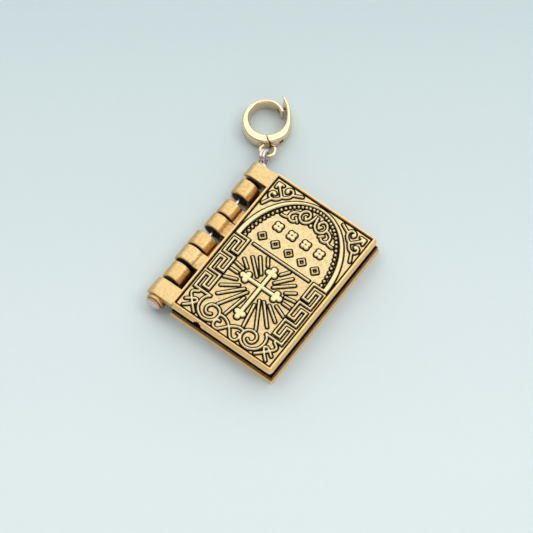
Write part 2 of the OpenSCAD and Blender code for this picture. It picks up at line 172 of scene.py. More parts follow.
def linear(hex_colour):
    """The linear RGBA of an sRGB hex colour."""
    parts = [int(hex_colour[i:i + 2], 16) / 255 for i in (1, 3, 5)]
    return (*[c / 12.92 if c <= 0.04045 else ((c + 0.055) / 1.055) ** 2.4 for c in parts], 1)


def add_node(tree, kind, links=None, **settings):
    """Adds a node: settings are its own options or its sockets' values, links its inputs."""
    node = tree.nodes.new(kind)
    for name, value in settings.items():
        if hasattr(node, name):
            setattr(node, name, value)
        else:
            node.inputs[name.replace("_", " ")].default_value = value
    for socket, source in (links or {}).items():
        tree.links.new(source, node.inputs[socket])
    return node


def new_finish(name):
    """An empty material and its node tree with an output."""
    finish = bpy.data.materials.new(name)
    finish.use_nodes = True
    finish.node_tree.nodes.clear()
    return finish, finish.node_tree


def grain_scale(tree, size):
    """Object coordinates scaled so that one unit of a pattern is this many millimetres."""
    place_node = add_node(tree, "ShaderNodeTexCoord")
    return add_node(tree, "ShaderNodeVectorMath", {"Vector": place_node.outputs["Object"]},
                    operation="SCALE", Scale=1 / (size * MM))


def antique_gold():
    """Zinc alloy, die cast, gold plated, blackened and wiped: satin gold with a fine cast skin,
    paler where the cloth rubbed the tops, a thin brown film where it did not, black hollows;
    the black and brown layers also carry painted shade and a painted warm reflection, and a clear yellow painted
    highlight lightens the covers' sides."""
    finish, tree = new_finish("antique_gold_plate")
    cast = grain_scale(tree, 0.45)
    mottle = add_node(tree, "ShaderNodeTexNoise", {"Vector": cast.outputs["Vector"]},
                      Scale=1.0, Detail=6.0, Roughness=0.68)
    grit_place = grain_scale(tree, 0.11)
    grit = add_node(tree, "ShaderNodeTexNoise", {"Vector": grit_place.outputs["Vector"]},
                    Scale=1.0, Detail=2.0, Roughness=0.5)
    darkening = add_node(tree, "ShaderNodeAttribute", attribute_name="marks_and_shade")
    rub = add_node(tree, "ShaderNodeAttribute", attribute_name="rubbed")
    brown_amount = add_node(tree, "ShaderNodeAttribute", attribute_name="film_and_shade")
    bright = add_node(tree, "ShaderNodeAttribute", attribute_name="painted_side_highlight")
    patches = add_node(tree, "ShaderNodeMapRange", {"Value": mottle.outputs["Fac"]},
                       interpolation_type="SMOOTHSTEP")
    patches.inputs["From Min"].default_value = 0.38
    patches.inputs["From Max"].default_value = 0.66
    plated = add_node(tree, "ShaderNodeMixRGB", {"Fac": patches.outputs["Result"]},
                      Color1=linear("#d4b176"), Color2=linear("#c39c60"))
    paler = add_node(tree, "ShaderNodeMixRGB", {"Fac": patches.outputs["Result"]},
                     Color1=linear("#e4d7ab"), Color2=linear("#d2bf92"))
    browner = add_node(tree, "ShaderNodeMixRGB", {"Fac": patches.outputs["Result"]},
                       Color1=linear("#bb8e5a"), Color2=linear("#855c35"))
    polished = add_node(tree, "ShaderNodeMixRGB", {"Fac": rub.outputs["Fac"],
                                                  "Color1": plated.outputs["Color"],
                                                  "Color2": paler.outputs["Color"]})
    browned = add_node(tree, "ShaderNodeMixRGB", {"Fac": brown_amount.outputs["Fac"],
                                               "Color1": polished.outputs["Color"],
                                               "Color2": browner.outputs["Color"]})
    # Painted highlight: the covers' sides are lightened to a clear yellow in place of the bright reflection they
    # show
    with_side_highlight = add_node(tree, "ShaderNodeMixRGB", {"Fac": bright.outputs["Fac"],
                                                 "Color1": browned.outputs["Color"]},
                       Color2=linear("#ffd493"))
    # Blackening breaks up along its edge where the wiping cloth reached in; the shade painted into the same layer
    # breaks up the same way
    edge = add_node(tree, "ShaderNodeMath", {0: grit.outputs["Fac"], 1: darkening.outputs["Fac"]},
                    operation="ADD")
    cover = add_node(tree, "ShaderNodeMapRange", {"Value": edge.outputs["Value"]},
                     interpolation_type="SMOOTHSTEP")
    cover.inputs["From Min"].default_value = 0.72
    cover.inputs["From Max"].default_value = 1.16
    colour = add_node(tree, "ShaderNodeMixRGB",
                      {"Fac": cover.outputs["Result"], "Color1": with_side_highlight.outputs["Color"]},
                      Color2=linear("#20150f"))
    dull = add_node(tree, "ShaderNodeMapRange", {"Value": cover.outputs["Result"]})
    dull.inputs["To Min"].default_value = 0.40
    dull.inputs["To Max"].default_value = 0.62
    bump = add_node(tree, "ShaderNodeBump", {"Height": grit.outputs["Fac"]},
                    Strength=0.25, Distance=0.02 * MM)
    shader = add_node(tree, "ShaderNodeBsdfPrincipled",
                      {"Base Color": colour.outputs["Color"], "Roughness": dull.outputs["Result"],
                       "Normal": bump.outputs["Normal"]}, Metallic=1.0)
    add_node(tree, "ShaderNodeOutputMaterial", {"Surface": shader.outputs["BSDF"]})
    return finish


def pale_gold():
    """Zinc alloy, tumbled smooth and plated pale gold: soft mirror with a faint ripple."""
    finish, tree = new_finish("pale_gold_plate")
    ripple_place = grain_scale(tree, 0.8)
    ripple = add_node(tree, "ShaderNodeTexNoise", {"Vector": ripple_place.outputs["Vector"]},
                      Scale=1.0, Detail=2.0, Roughness=0.4)
    tint = add_node(tree, "ShaderNodeMixRGB", {"Fac": ripple.outputs["Fac"]},
                    Color1=linear("#f3dfbe"), Color2=linear("#e6cda6"))
    darkening = add_node(tree, "ShaderNodeAttribute", attribute_name="marks_and_shade")
    aged = add_node(tree, "ShaderNodeMixRGB", {"Fac": darkening.outputs["Fac"],
                                              "Color1": tint.outputs["Color"]},
                    Color2=linear("#6b3f1c"))
    rough = add_node(tree, "ShaderNodeMapRange", {"Value": ripple.outputs["Fac"]})
    rough.inputs["To Min"].default_value = 0.16
    rough.inputs["To Max"].default_value = 0.28
    bump = add_node(tree, "ShaderNodeBump", {"Height": ripple.outputs["Fac"]},
                    Strength=0.15, Distance=0.05 * MM)
    shader = add_node(tree, "ShaderNodeBsdfPrincipled",
                      {"Base Color": aged.outputs["Color"], "Roughness": rough.outputs["Result"],
                       "Normal": bump.outputs["Normal"]}, Metallic=1.0)
    add_node(tree, "ShaderNodeOutputMaterial", {"Surface": shader.outputs["BSDF"]})
    return finish


def pin_wire():
    """Steel wire, drawn and nickel plated over copper: silvery, pink where the nickel is worn."""
    finish, tree = new_finish("nickel_plated_wire")
    worn_place = grain_scale(tree, 0.7)
    worn = add_node(tree, "ShaderNodeTexNoise", {"Vector": worn_place.outputs["Vector"]},
                    Scale=1.0, Detail=3.0, Roughness=0.55)
    plated = add_node(tree, "ShaderNodeMixRGB", {"Fac": worn.outputs["Fac"]},
                      Color1=linear("#dedadd"), Color2=linear("#c9b6b8"))
    bare = add_node(tree, "ShaderNodeAttribute", attribute_name="marks_and_shade")
    tint = add_node(tree, "ShaderNodeMixRGB", {"Fac": bare.outputs["Fac"],
                                              "Color1": plated.outputs["Color"]},
                    Color2=linear("#d39a86"))
    rough = add_node(tree, "ShaderNodeMapRange", {"Value": worn.outputs["Fac"]})
    rough.inputs["To Min"].default_value = 0.16
    rough.inputs["To Max"].default_value = 0.34
    shader = add_node(tree, "ShaderNodeBsdfPrincipled",
                      {"Base Color": tint.outputs["Color"], "Roughness": rough.outputs["Result"]},
                      Metallic=1.0)
    add_node(tree, "ShaderNodeOutputMaterial", {"Surface": shader.outputs["BSDF"]})
    return finish


def table_card():
    """Matt pale card under the charm: cool, with a fibre grain, and greyer towards its far end as painted shade
    for light falling off there.
    """
    finish, tree = new_finish("pale_card")
    fibre_place = grain_scale(tree, 1.4)
    fibre = add_node(tree, "ShaderNodeTexNoise", {"Vector": fibre_place.outputs["Vector"]},
                     Scale=1.0, Detail=3.0, Roughness=0.6)
    # Painted shade: the card darkens towards its far end along the view's direction
    here = add_node(tree, "ShaderNodeTexCoord")
    nearer = add_node(tree, "ShaderNodeVectorMath", {0: here.outputs["Object"]}, operation="DOT_PRODUCT")
    nearer.inputs[1].default_value = (sin(AZIMUTH), -cos(AZIMUTH), 0)
    along = add_node(tree, "ShaderNodeMapRange", {"Value": nearer.outputs["Value"]})
    along.inputs["From Min"].default_value = -62 * MM
    along.inputs["From Max"].default_value = 40 * MM
    painted_falloff = add_node(tree, "ShaderNodeMath", {0: along.outputs["Result"]}, operation="POWER")
    painted_falloff.inputs[1].default_value = 0.6
    shade = add_node(tree, "ShaderNodeMixRGB", {"Fac": painted_falloff.outputs["Value"]},
                     Color1=linear("#b6c9cf"), Color2=linear("#dee9ee"))
    tint = add_node(tree, "ShaderNodeMixRGB", {"Fac": fibre.outputs["Fac"],
                                              "Color1": shade.outputs["Color"]},
                    blend_type="MULTIPLY", Color2=linear("#fbfcfc"))
    shader = add_node(tree, "ShaderNodeBsdfPrincipled", {"Base Color": tint.outputs["Color"]},
                      Roughness=0.85)
    add_node(tree, "ShaderNodeOutputMaterial", {"Surface": shader.outputs["BSDF"]})
    return finish


GOLD = antique_gold()
PALE = pale_gold()
WIRE = pin_wire()
CARD = table_card()


def set_layer(piece, name, amounts):
    """Stores a value from 0 to 1 for each point: how dark from blackening, marks and painted shade,
    "rubbed" how pale, and how brown from a film, painted shade and painted reflection."""
    layer = piece.data.attributes.get(name) or piece.data.attributes.new(name, "FLOAT", "POINT")
    layer.data.foreach_set("value", np.asarray(amounts, np.float32))


def cover_places(piece):
    """The mesh's points in the cover's frame."""
    co = np.zeros(len(piece.data.vertices) * 3)
    piece.data.vertices.foreach_get("co", co)
    return co.reshape(-1, 3) / MM - (SPINE_X, FOOT_Y, 0)


# Ornament of the front cover: x from its middle line, y from its foot, left side of each pair

LINE_W = 0.40
ARCH_FOOT = 17.1
ARCH_OUT = (9.35, 11.75)
ARCH_IN = (8.53, 11.32)
BEAD_ARC = (7.84, 10.95)
CHANNEL_IN = (7.45, 10.55)
BEAD_COUNT = 39
BEAD_R = 0.25
KEY_X = (-6.69, -7.84, -8.89)
KEY_PITCH = 3.96
KEY_DOWN = 3.09
KEY_UP = 1.08
KEY_UNITS = 3
BAR_Y = 16.95
BAR_HALF = 5.6

RAYS = [
    [(-2.20, 16.30), (-1.30, 15.05)], [(-3.35, 15.65), (-1.35, 13.25)],
    [(-4.35, 14.90), (-1.65, 12.50)], [(-5.30, 13.85), (-3.90, 12.85)],
    [(-6.05, 12.55), (-4.30, 12.25)], [(-6.05, 11.15), (-4.70, 11.15)],
    [(-6.10, 9.30), (-4.10, 10.10)], [(-5.60, 7.75), (-3.10, 9.50)],
    [(-5.10, 6.20), (-2.00, 9.50)], [(-3.90, 4.70), (-1.25, 9.25)],
    [(-1.85, 4.00), (-1.05, 8.15)],
]

CROSS_TOP = 15.6
CROSS_FOOT = 4.3
CROSS_ARM = 4.25
CROSS_Y = 11.4
CROSS_W = 0.68
BUD_R = 0.52
BUD_STEP = 0.8
BUD_SPREAD = 0.55

TOP_CURL = [(-1.15, 25.85), (-0.95, 26.35), (-1.30, 27.00), (-1.95, 27.05), (-2.50, 26.55),
            (-2.60, 25.85), (-2.25, 25.20), (-1.55, 24.90), (-0.90, 25.20), (-0.45, 25.80),
            (-0.20, 27.05)]
TOP_HOOK = [(-2.60, 26.00), (-3.30, 25.85), (-3.90, 25.35), (-4.00, 24.70), (-3.65, 24.15),
            (-3.05, 24.05), (-2.70, 24.30)]
TOP_TAIL = [(-3.95, 24.45), (-4.45, 24.10), (-5.20, 24.05)]
TOP_DASHES = [[(-1.63, 26.05), (-1.33, 25.60)], [(-2.83, 24.95), (-2.23, 24.40)]]
FOOT_CURL = [(-5.75, 5.15), (-6.30, 4.50), (-6.50, 3.60), (-6.30, 2.50), (-5.55, 1.65),
             (-4.50, 1.20), (-3.45, 1.40), (-2.70, 2.05), (-2.45, 3.00), (-2.85, 3.90),
             (-3.70, 4.25), (-4.60, 4.05), (-5.00, 3.35), (-4.85, 2.65), (-4.30, 2.35),
             (-3.75, 2.60)]
FOOT_LINK = [(-2.50, 3.35), (-1.70, 3.45), (-0.80, 3.15), (0, 2.55), (0.65, 1.80),
             (1.35, 1.05), (2.10, 1.05), (2.50, 1.65), (2.35, 2.30), (1.85, 2.45)]
CORNER_CURL = [(-6.80, 27.75), (-7.00, 28.10), (-6.75, 28.50), (-6.20, 28.60), (-5.80, 28.15),
               (-5.90, 27.40), (-6.40, 26.85), (-7.00, 26.50)]
CORNER_STEM = [(-8.65, 28.15), (-7.00, 26.50)]
CORNER_BAR = [(-5.65, 27.95), (-4.20, 28.65)]
CORNER_HEAD = [(-8.90, 27.55), (-8.90, 28.45), (-7.95, 28.45)]
CORNER_AT = (-9.74, 29.34)
KNOT_LONG = [(-7.75, 5.10), (-7.80, 4.70), (-8.55, 4.20), (-8.55, 3.65), (-7.90, 2.90),
             (-7.10, 2.05), (-6.20, 1.20)]
KNOT_CROSS = [(-8.80, 2.40), (-7.95, 3.00), (-7.30, 3.35), (-6.90, 3.05), (-7.20, 2.50),
              (-7.75, 1.90), (-8.45, 1.25)]

FLOWER_X = (-4.2, -1.4, 1.4, 4.2)
FLOWER_Y = 21.9
PETAL_R = 0.42
LOZENGE_X = (-5.4, -2.7, 0, 2.7, 5.4)
LOZENGE_Y = 19.0
LOZENGE_A = 1.2
LOZENGE_W = 0.3


def across(points):
    """The twin of a corner curl on the other side of the corner's diagonal."""
    return [(CORNER_AT[0] + CORNER_AT[1] - y, CORNER_AT[1] + CORNER_AT[0] - x) for x, y in points]


def mirrored(points):
    return [(-x, y) for x, y in points]


class Ornament:
    """Distance of each place of a grid from the edge of the raised metal, less than 0 inside it."""

    def __init__(self, xs, ys):
        self.xs = xs
        self.ys = ys
        self.edge = np.full((len(ys), len(xs)), 9.0)

    def near(self, points, reach=1.5):
        """The part of the grid round some points, and its places."""
        p = np.asarray(points, float)
        low = p.min(0) - reach
        high = p.max(0) + reach
        cols = slice(*np.searchsorted(self.xs, (low[0], high[0])))
        rows = slice(*np.searchsorted(self.ys, (low[1], high[1])))
        return rows, cols, *np.meshgrid(self.xs[cols], self.ys[rows])

    def line(self, points, width=LINE_W):
        rows, cols, gx, gy = self.near(points)
        gap = np.full(gx.shape, 9.0)
        for (ax, ay), (bx, by) in zip(points[:-1], points[1:]):
            dx, dy = bx - ax, by - ay
            t = np.clip(((gx - ax) * dx + (gy - ay) * dy) / (dx * dx + dy * dy), 0, 1)
            gap = np.minimum(gap, np.hypot(gx - ax - t * dx, gy - ay - t * dy))
        self.edge[rows, cols] = np.minimum(self.edge[rows, cols], gap - width / 2)

    def disc(self, x, y, r):
        rows, cols, gx, gy = self.near([(x, y)])
        self.edge[rows, cols] = np.minimum(self.edge[rows, cols], np.hypot(gx - x, gy - y) - r)

    def bar(self, x0, y0, x1, y1):
        """An upright rectangle, with square corners."""
        rows, cols, gx, gy = self.near([(x0, y0), (x1, y1)], 2.0)
        out_x = np.maximum(x0 - gx, gx - x1)
        out_y = np.maximum(y0 - gy, gy - y1)
        outside = np.hypot(np.maximum(out_x, 0), np.maximum(out_y, 0))
        gap = outside + np.minimum(np.maximum(out_x, out_y), 0)
        self.edge[rows, cols] = np.minimum(self.edge[rows, cols], gap)

    def square_line(self, points, width=LINE_W):
        """A line of upright and level strokes with square corners."""
        half = width / 2
        for (ax, ay), (bx, by) in zip(points[:-1], points[1:]):
            self.bar(min(ax, bx) - half, min(ay, by) - half, max(ax, bx) + half, max(ay, by) + half)


def oval_gap(gx, gy, axes):
    """Distance from an oval about the arch's foot, less than 0 inside."""
    a, b = axes
    dy = gy - ARCH_FOOT
    level = np.sqrt((gx / a) ** 2 + (dy / b) ** 2)
    slope = np.hypot(gx / a ** 2, dy / b ** 2) / np.maximum(level, 1e-6)
    return (level - 1) / np.maximum(slope, 1e-6)


def draw_ornament(xs, ys):
    """All raised work on the field, and the dark channel of the beads."""
    work = Ornament(xs, ys)
    gx, gy = np.meshgrid(xs, ys)
    outside = oval_gap(gx, gy, ARCH_OUT)
    inside = oval_gap(gx, gy, ARCH_IN)
    below = ARCH_FOOT - 0.1 - LINE_W / 2 - gy
    work.edge = np.minimum(work.edge, np.maximum(np.maximum(outside, -inside), below))
    for i in range(BEAD_COUNT):
        t = pi * (i + 0.5) / BEAD_COUNT
        work.disc(BEAD_ARC[0] * cos(t), ARCH_FOOT + BEAD_ARC[1] * sin(t), BEAD_R)

    top = ARCH_FOOT - 0.1
    key = [(-ARCH_OUT[0] + LINE_W / 2, top)]
    for unit in range(KEY_UNITS):
        y = top - unit * KEY_PITCH
        key += [(KEY_X[0], y), (KEY_X[0], y - KEY_DOWN), (KEY_X[1], y - KEY_DOWN),
                (KEY_X[1], y - KEY_UP), (KEY_X[2], y - KEY_UP), (KEY_X[2], y - KEY_PITCH)]
    key.append((-5.8, top - KEY_UNITS * KEY_PITCH))
    for side in (key, mirrored(key)):
        work.square_line(side)

    strokes = [curve(p) for p in (TOP_CURL, TOP_HOOK, TOP_TAIL, FOOT_CURL, FOOT_LINK,
                                  CORNER_CURL, across(CORNER_CURL), KNOT_LONG, KNOT_CROSS)]
    strokes += RAYS + TOP_DASHES + [CORNER_STEM, CORNER_BAR, across(CORNER_BAR), CORNER_HEAD]
    for stroke in strokes:
        work.line(stroke)
        work.line(mirrored(stroke))
    for side in (-1, 1):
        work.disc(side * 6.78, 27.98, 0.34)
        work.disc(side * 8.38, 26.40, 0.34)
        work.disc(side * 8.52, 28.08, 0.36)
    work.disc(0, 25.22, 0.28)

    work.bar(-CROSS_W / 2, CROSS_FOOT + BUD_R, CROSS_W / 2, CROSS_TOP - BUD_R)
    work.bar(-CROSS_ARM + BUD_R, CROSS_Y - CROSS_W / 2, CROSS_ARM - BUD_R, CROSS_Y + CROSS_W / 2)
    for tip_x, tip_y, ux, uy in ((CROSS_ARM, CROSS_Y, 1, 0), (-CROSS_ARM, CROSS_Y, -1, 0),
                                 (0, CROSS_TOP, 0, 1), (0, CROSS_FOOT, 0, -1)):
        work.disc(tip_x - ux * BUD_R, tip_y - uy * BUD_R, BUD_R)
        base_x = tip_x - ux * (BUD_R + BUD_STEP)
        base_y = tip_y - uy * (BUD_R + BUD_STEP)
        for s in (-1, 1):
            work.disc(base_x - s * uy * BUD_SPREAD, base_y + s * ux * BUD_SPREAD, BUD_R)
        work.line([(tip_x - ux * BUD_R, tip_y - uy * BUD_R), (base_x, base_y)], 0.9)

    work.square_line([(-BAR_HALF, BAR_Y), (BAR_HALF, BAR_Y)])
    for x in FLOWER_X:
        for turn in range(4):
            t = pi / 4 + turn * pi / 2
            work.disc(x + 1.15 * PETAL_R * cos(t), FLOWER_Y + 1.15 * PETAL_R * sin(t), PETAL_R)
    reach = (LOZENGE_A - LOZENGE_W) / 2 * sqrt(2)
    for x in LOZENGE_X:
        ring = [(x + reach * cos(t), LOZENGE_Y + reach * sin(t)) for t in np.arange(5) * pi / 2]
        work.line(ring, LOZENGE_W)
    return work.edge, np.maximum(inside, np.maximum(-oval_gap(gx, gy, CHANNEL_IN), ARCH_FOOT - gy))


# Front cover

GRID_STEP = 0.0845
GRID_INSET = 0.47
EDGE_R = 0.25
DRAFT = 0.2          # how far the covers' sides lean in on their way up
LIP_Z = 0.25         # height of the upright lip left under the drafted side


def smooth(low, high, x):
    t = np.clip((x - low) / (high - low), 0, 1)
    return t * t * (3 - 2 * t)


def skirt_point(x, y, inset, w, h):
    """Where the outline of a plate, drawn in by inset, passes nearest to a place on its rim."""
    r = GRID_INSET + 0.09
    cx = min(max(x, r), w - r)
    cy = min(max(y, r), h - r)
    in_x = x < r or x > w - r
    in_y = y < r or y > h - r
    if in_x and in_y:
        dx, dy = x - cx, y - cy
        long = hypot(dx, dy)
        return cx + dx / long * (r - inset), cy + dy / long * (r - inset)
    if min(x, w - x) <= min(y, h - y):
        return (inset, y) if x < w / 2 else (w - inset, y)
    return (x, inset) if y < h / 2 else (x, h - inset)


def edge_rows(low, high, r, r_low, lines=(), lean=0.0):
    """Rows of a plate's side from the top down: how far in, and the height."""
    down = [(lean + r - r * sin(t), high - r + r * cos(t)) for t in radians(90) * np.arange(6) / 5]
    up = [(r_low - r_low * cos(t), low + r_low - r_low * sin(t)) for t in radians(90) * np.arange(4) / 3]
    return down + list(lines) + up


def build_front_plate():
    """The cast cover: one fine grid for its face, with rounded sides and a flat back."""
    xs = np.linspace(GRID_INSET, COVER_W - GRID_INSET, round((COVER_W - 2 * GRID_INSET) / GRID_STEP))
    ys = np.linspace(GRID_INSET, COVER_H - GRID_INSET, round((COVER_H - 2 * GRID_INSET) / GRID_STEP))
    nx, ny = len(xs), len(ys)
    edge, channel = draw_ornament(xs - COVER_W / 2, ys)
    gx, gy = np.meshgrid(xs, ys)
    to_side = np.minimum(np.minimum(gx, COVER_W - gx), np.minimum(gy, COVER_H - gy))
    rim = to_side - RIM_W
    height = np.maximum(smooth(0.08, -0.12, edge), smooth(0.08, -0.08, rim))
    # Blackening: a line round all raised work, wider inside the rim, and all over the bead channel
    dark = smooth(-0.05, 0.04, edge) * smooth(0.31, 0.15, edge)
    dark = np.maximum(dark, smooth(-0.05, 0.04, rim) * smooth(0.34, 0.22, rim))
    dark = np.maximum(dark, 0.4 * smooth(0.08, -0.08, channel))
    dark *= smooth(-0.06, 0.03, edge) * smooth(-0.08, 0.02, rim)
    # Soot stays as specks where the rays crowd the field, and hardly at all over the bar
    crowded = smooth(BAR_Y, BAR_Y - 1.2, gy)
    dark = np.maximum(dark, (0.10 + 0.10 * crowded) * smooth(0.1, -0.1, -edge))
    tops = smooth(0.03, -0.06, edge)
    z = FIELD_Z + RELIEF_H * height
    points = list(zip(gx.ravel(), gy.ravel(), z.ravel()))
    marks_and_shade = list(dark.ravel())
    field = (1 - tops) * smooth(-0.02, 0.04, rim)
    rubbed = list((np.maximum(tops, (0.75 - 0.05 * crowded) * field)).ravel())
    film_and_shade = list(((0.12 + 0.08 * crowded) * field + 0.3 * smooth(0.08, -0.08, channel) * field).ravel())
    faces = [(j * nx + i, j * nx + i + 1, (j + 1) * nx + i + 1, (j + 1) * nx + i)
             for j in range(ny - 1) for i in range(nx - 1)]

    border = ([i for i in range(nx)] + [j * nx + nx - 1 for j in range(1, ny)]
              + [(ny - 1) * nx + i for i in range(nx - 2, -1, -1)] + [j * nx for j in range(ny - 2, 0, -1)])
    drafted = [(0.6 * DRAFT, FRONT_Z + 0.7), (0.03, FRONT_Z + LIP_Z + 0.05), (0.0, FRONT_Z + LIP_Z)]
    rows = edge_rows(FRONT_Z, TOP_Z, EDGE_R, 0.1, drafted, DRAFT)
    count = len(border)
    painted_side_highlight = [0.0] * len(points)
    start = len(points)
    for inset, level in rows:
        for k in border:
            points.append((*skirt_point(points[k][0], points[k][1], inset, COVER_W, COVER_H), level))
            marks_and_shade.append(0.0)
            rubbed.append(0.6)
            film_and_shade.append(0.0)
            # Painted highlight: the sides above the bottom edge are lightened to a clear yellow in place of the
            # bright reflection they show
            painted_side_highlight.append(0.9 if level > FRONT_Z + 0.001 else 0.0)
    for r in range(len(rows)):
        above = border if r == 0 else range(start + (r - 1) * count, start + r * count)
        above = list(above)
        this = start + r * count
        for i in range(count):
            j = (i + 1) % count
            faces.append((above[i], this + i, this + j, above[j]))
    last = start + (len(rows) - 1) * count
    faces.append(tuple(range(last + count - 1, last - 1, -1)))
    plate = make_piece("front_cover_face", points, faces, GOLD)
    set_layer(plate, "marks_and_shade", marks_and_shade)
    set_layer(plate, "rubbed", rubbed)
    set_layer(plate, "film_and_shade", film_and_shade)
    set_layer(plate, "painted_side_highlight", painted_side_highlight)
    return plate


TAB_END = 0.5        # how far straps and tabs run into their plate


def tab_outline(low, high):
    """Section of a tab: it runs level out of its plate into the barrel."""
    return [(PIN_X / 2, low), (TAB_END, low), (TAB_END, high), (PIN_X / 2, high)]


def strap_outline(low, high):
    """Section of a flush strap: it runs level out of its plate and curls over the barrel."""
    if high > PIN_Z:
        left = 180 - degrees_of_height(low, BARREL_R)
        return arc(PIN_X, PIN_Z, BARREL_R, 90, left, 16) + [(TAB_END, low), (TAB_END, high)]
    left = 180 - degrees_of_height(high, BARREL_R)
    return arc(PIN_X, PIN_Z, BARREL_R, left, 270, 16) + [(PIN_X, low), (TAB_END, low), (TAB_END, high)]


def degrees_of_height(level, r):
    """Angle on a barrel's right side at a height."""
    rise = min(1, max(-1, (level - PIN_Z) / r))
    return np.degrees(np.arcsin(rise))


def drawn_in(outline, inset):
    """An outline moved inwards by inset, point by point."""
    p = np.asarray(outline, float)
    before = p - np.roll(p, 1, 0)
    after = np.roll(p, -1, 0) - p
    before /= np.linalg.norm(before, axis=1)[:, None] + 1e-9
    after /= np.linalg.norm(after, axis=1)[:, None] + 1e-9
    tangent = before + after
    length = np.linalg.norm(tangent, axis=1)[:, None] + 1e-9
    normal = np.stack([-tangent[:, 1], tangent[:, 0]], 1) / length
    reach = 1 / np.maximum(length / 2, 0.5)
    return p + normal * inset * reach


def rounded_bar(name, outline, y0, y1, r, inner=()):
    """A section run along the spine from y0 to y1, with its ends rounded over; the flat of
    each end has rings of points that far in."""
    rings = [(inset, y0) for inset in inner]
    steps = 5
    for k in range(steps + 1):
        t = radians(90) * k / steps
        rings.append((r - r * sin(t), y0 + r - r * cos(t)))
    rings += [(inset, y0 + y1 - y) for inset, y in reversed(rings)]
    points = []
    for inset, y in rings:
        points += [(x, y, z) for x, z in drawn_in(outline, inset)]
    return make_piece(name, points, rings_to_faces(len(rings), len(outline)), GOLD)


BARREL_EDGE = 0.2
END_RINGS = (0.44, 0.32)     # bare gold outside the second, soot inside the first


def build_barrels(name, owner, low, high):
    """The barrels of one leaf of the book, bored for the pin: its plate lies from low to high."""
    parts = []
    for whose, start, long, r, drop in BARRELS:
        if whose != owner:
            continue
        past = FOOT_REACH if start < 0 else 0
        parts.append(rounded_bar(name, arc(PIN_X, PIN_Z, r, 0, 354, 59), start - past, start + long,
                                 BARREL_EDGE, END_RINGS))
        if drop is None:
            parts.append(rounded_bar(name, strap_outline(low, high), start, start + long, 0.1))
        else:
            parts.append(rounded_bar(name, tab_outline(low, high - drop), start + 0.01,
                                     start + long - 0.01, 0.08))
    bore = rod_piece("bore", (PIN_X, -2, PIN_Z), (PIN_X, COVER_H + 1, PIN_Z), BORE_R, 24)
    barrels = parts[0]
    trim(barrels, "UNION", *parts[1:])
    trim(barrels, "DIFFERENCE", bore)
    crease(barrels)
    darken_barrels(barrels)
    return barrels


def darken_barrels(piece):
    """Soot lies on the end faces inside a bare ring and in the bores; the side of each barrel that faces its
    plate is darkened low down as painted shade and browned as a painted warm reflection.
    """
    co = cover_places(piece)
    out = np.hypot(co[:, 0] - PIN_X, co[:, 2] - PIN_Z)
    dark = smooth(BORE_R + 0.05, BORE_R + 0.02, out)
    for _, start, long, r, _ in BARRELS:
        first = start - FOOT_REACH if start < 0 else start
        end = np.minimum(abs(co[:, 1] - first), abs(co[:, 1] - start - long))
        inside = smooth(r - END_RINGS[1], r - END_RINGS[0], out)
        dark = np.maximum(dark, inside * smooth(0.05, 0.01, end))
    toward_plate_shade = smooth(0.3, 0.8, (co[:, 0] - PIN_X) / BARREL_R)
    # Painted shade: darker low down on the side that faces the plate
    dark = np.maximum(dark, 0.7 * toward_plate_shade * smooth(2.4, 1.2, co[:, 2]))
    set_layer(piece, "marks_and_shade", dark)
    set_layer(piece, "rubbed", np.where(out > BARREL_R - 0.01, 0.35, 0.15))
    # Painted reflection: the side that faces the plate is browned as if it reflected the warm gold plate
    set_layer(piece, "film_and_shade", 0.8 * toward_plate_shade * (out < BARREL_R - 0.01))


def rod_piece(name, start, end, r, sides, material=None):
    """A closed straight rod, used as a cutter or a stem."""
    a, b = Vector(start), Vector(end)
    turn = (b - a).to_track_quat("Z", "Y")
    points = []
    for at in (a, b):
        for i in range(sides):
            t = 2 * pi * i / sides
            points.append(tuple(at + turn @ Vector((r * cos(t), r * sin(t), 0))))
    return make_piece(name, points, rings_to_faces(2, sides), material or GOLD)


def slab(name, x0, y0, w, h, low, high, r, material, lines=(), lean=0.0, bands=()):
    """A plate with rounded corners and soft edges, its side leaning in if asked; bands are
    lines drawn inside its upper face."""
    rows = [(inset, high) for inset in bands] + edge_rows(low, high, r, min(r, 0.1), lines, lean)
    points = []
    for inset, level in rows:
        q = max(CORNER_R, inset + 0.05)
        ring = (arc(w - q, q, q - inset, -90, 0, 5) + arc(w - q, h - q, q - inset, 0, 90, 5)
                + arc(q, h - q, q - inset, 90, 180, 5) + arc(q, q, q - inset, 180, 270, 5))
        points += [(x0 + x, y0 + y, level) for x, y in ring]
    faces = [tuple(reversed(f)) for f in rings_to_faces(len(rows), len(ring))]
    piece = make_piece(name, points, faces, material)
    crease(piece)
    return piece


front_plate = build_front_plate()
thumb_notch = rod_piece("thumb_notch_cut", (5.75, -0.5, FRONT_Z), (5.75, 0.45, FRONT_Z), 0.75, 40)
trim(front_plate, "DIFFERENCE", thumb_notch)
crease(front_plate, 50)
front_places = cover_places(front_plate)
in_notch = (np.hypot(front_places[:, 0] - 5.75, front_places[:, 2] - FRONT_Z) < 0.78) & (
    front_places[:, 1] < 0.47) & (front_places[:, 2] > FRONT_Z + 0.01)
darkening = np.zeros(len(front_places), np.float32)
front_plate.data.attributes["marks_and_shade"].data.foreach_get("value", darkening)
set_layer(front_plate, "marks_and_shade", np.where(in_notch, 0.95, darkening))
front_barrels = build_barrels("front_barrels", "front", FRONT_Z, TOP_Z - 0.003)
for piece in (front_plate, front_barrels):
    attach(piece, "front")
    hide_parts("front_cover")

# Back cover and page

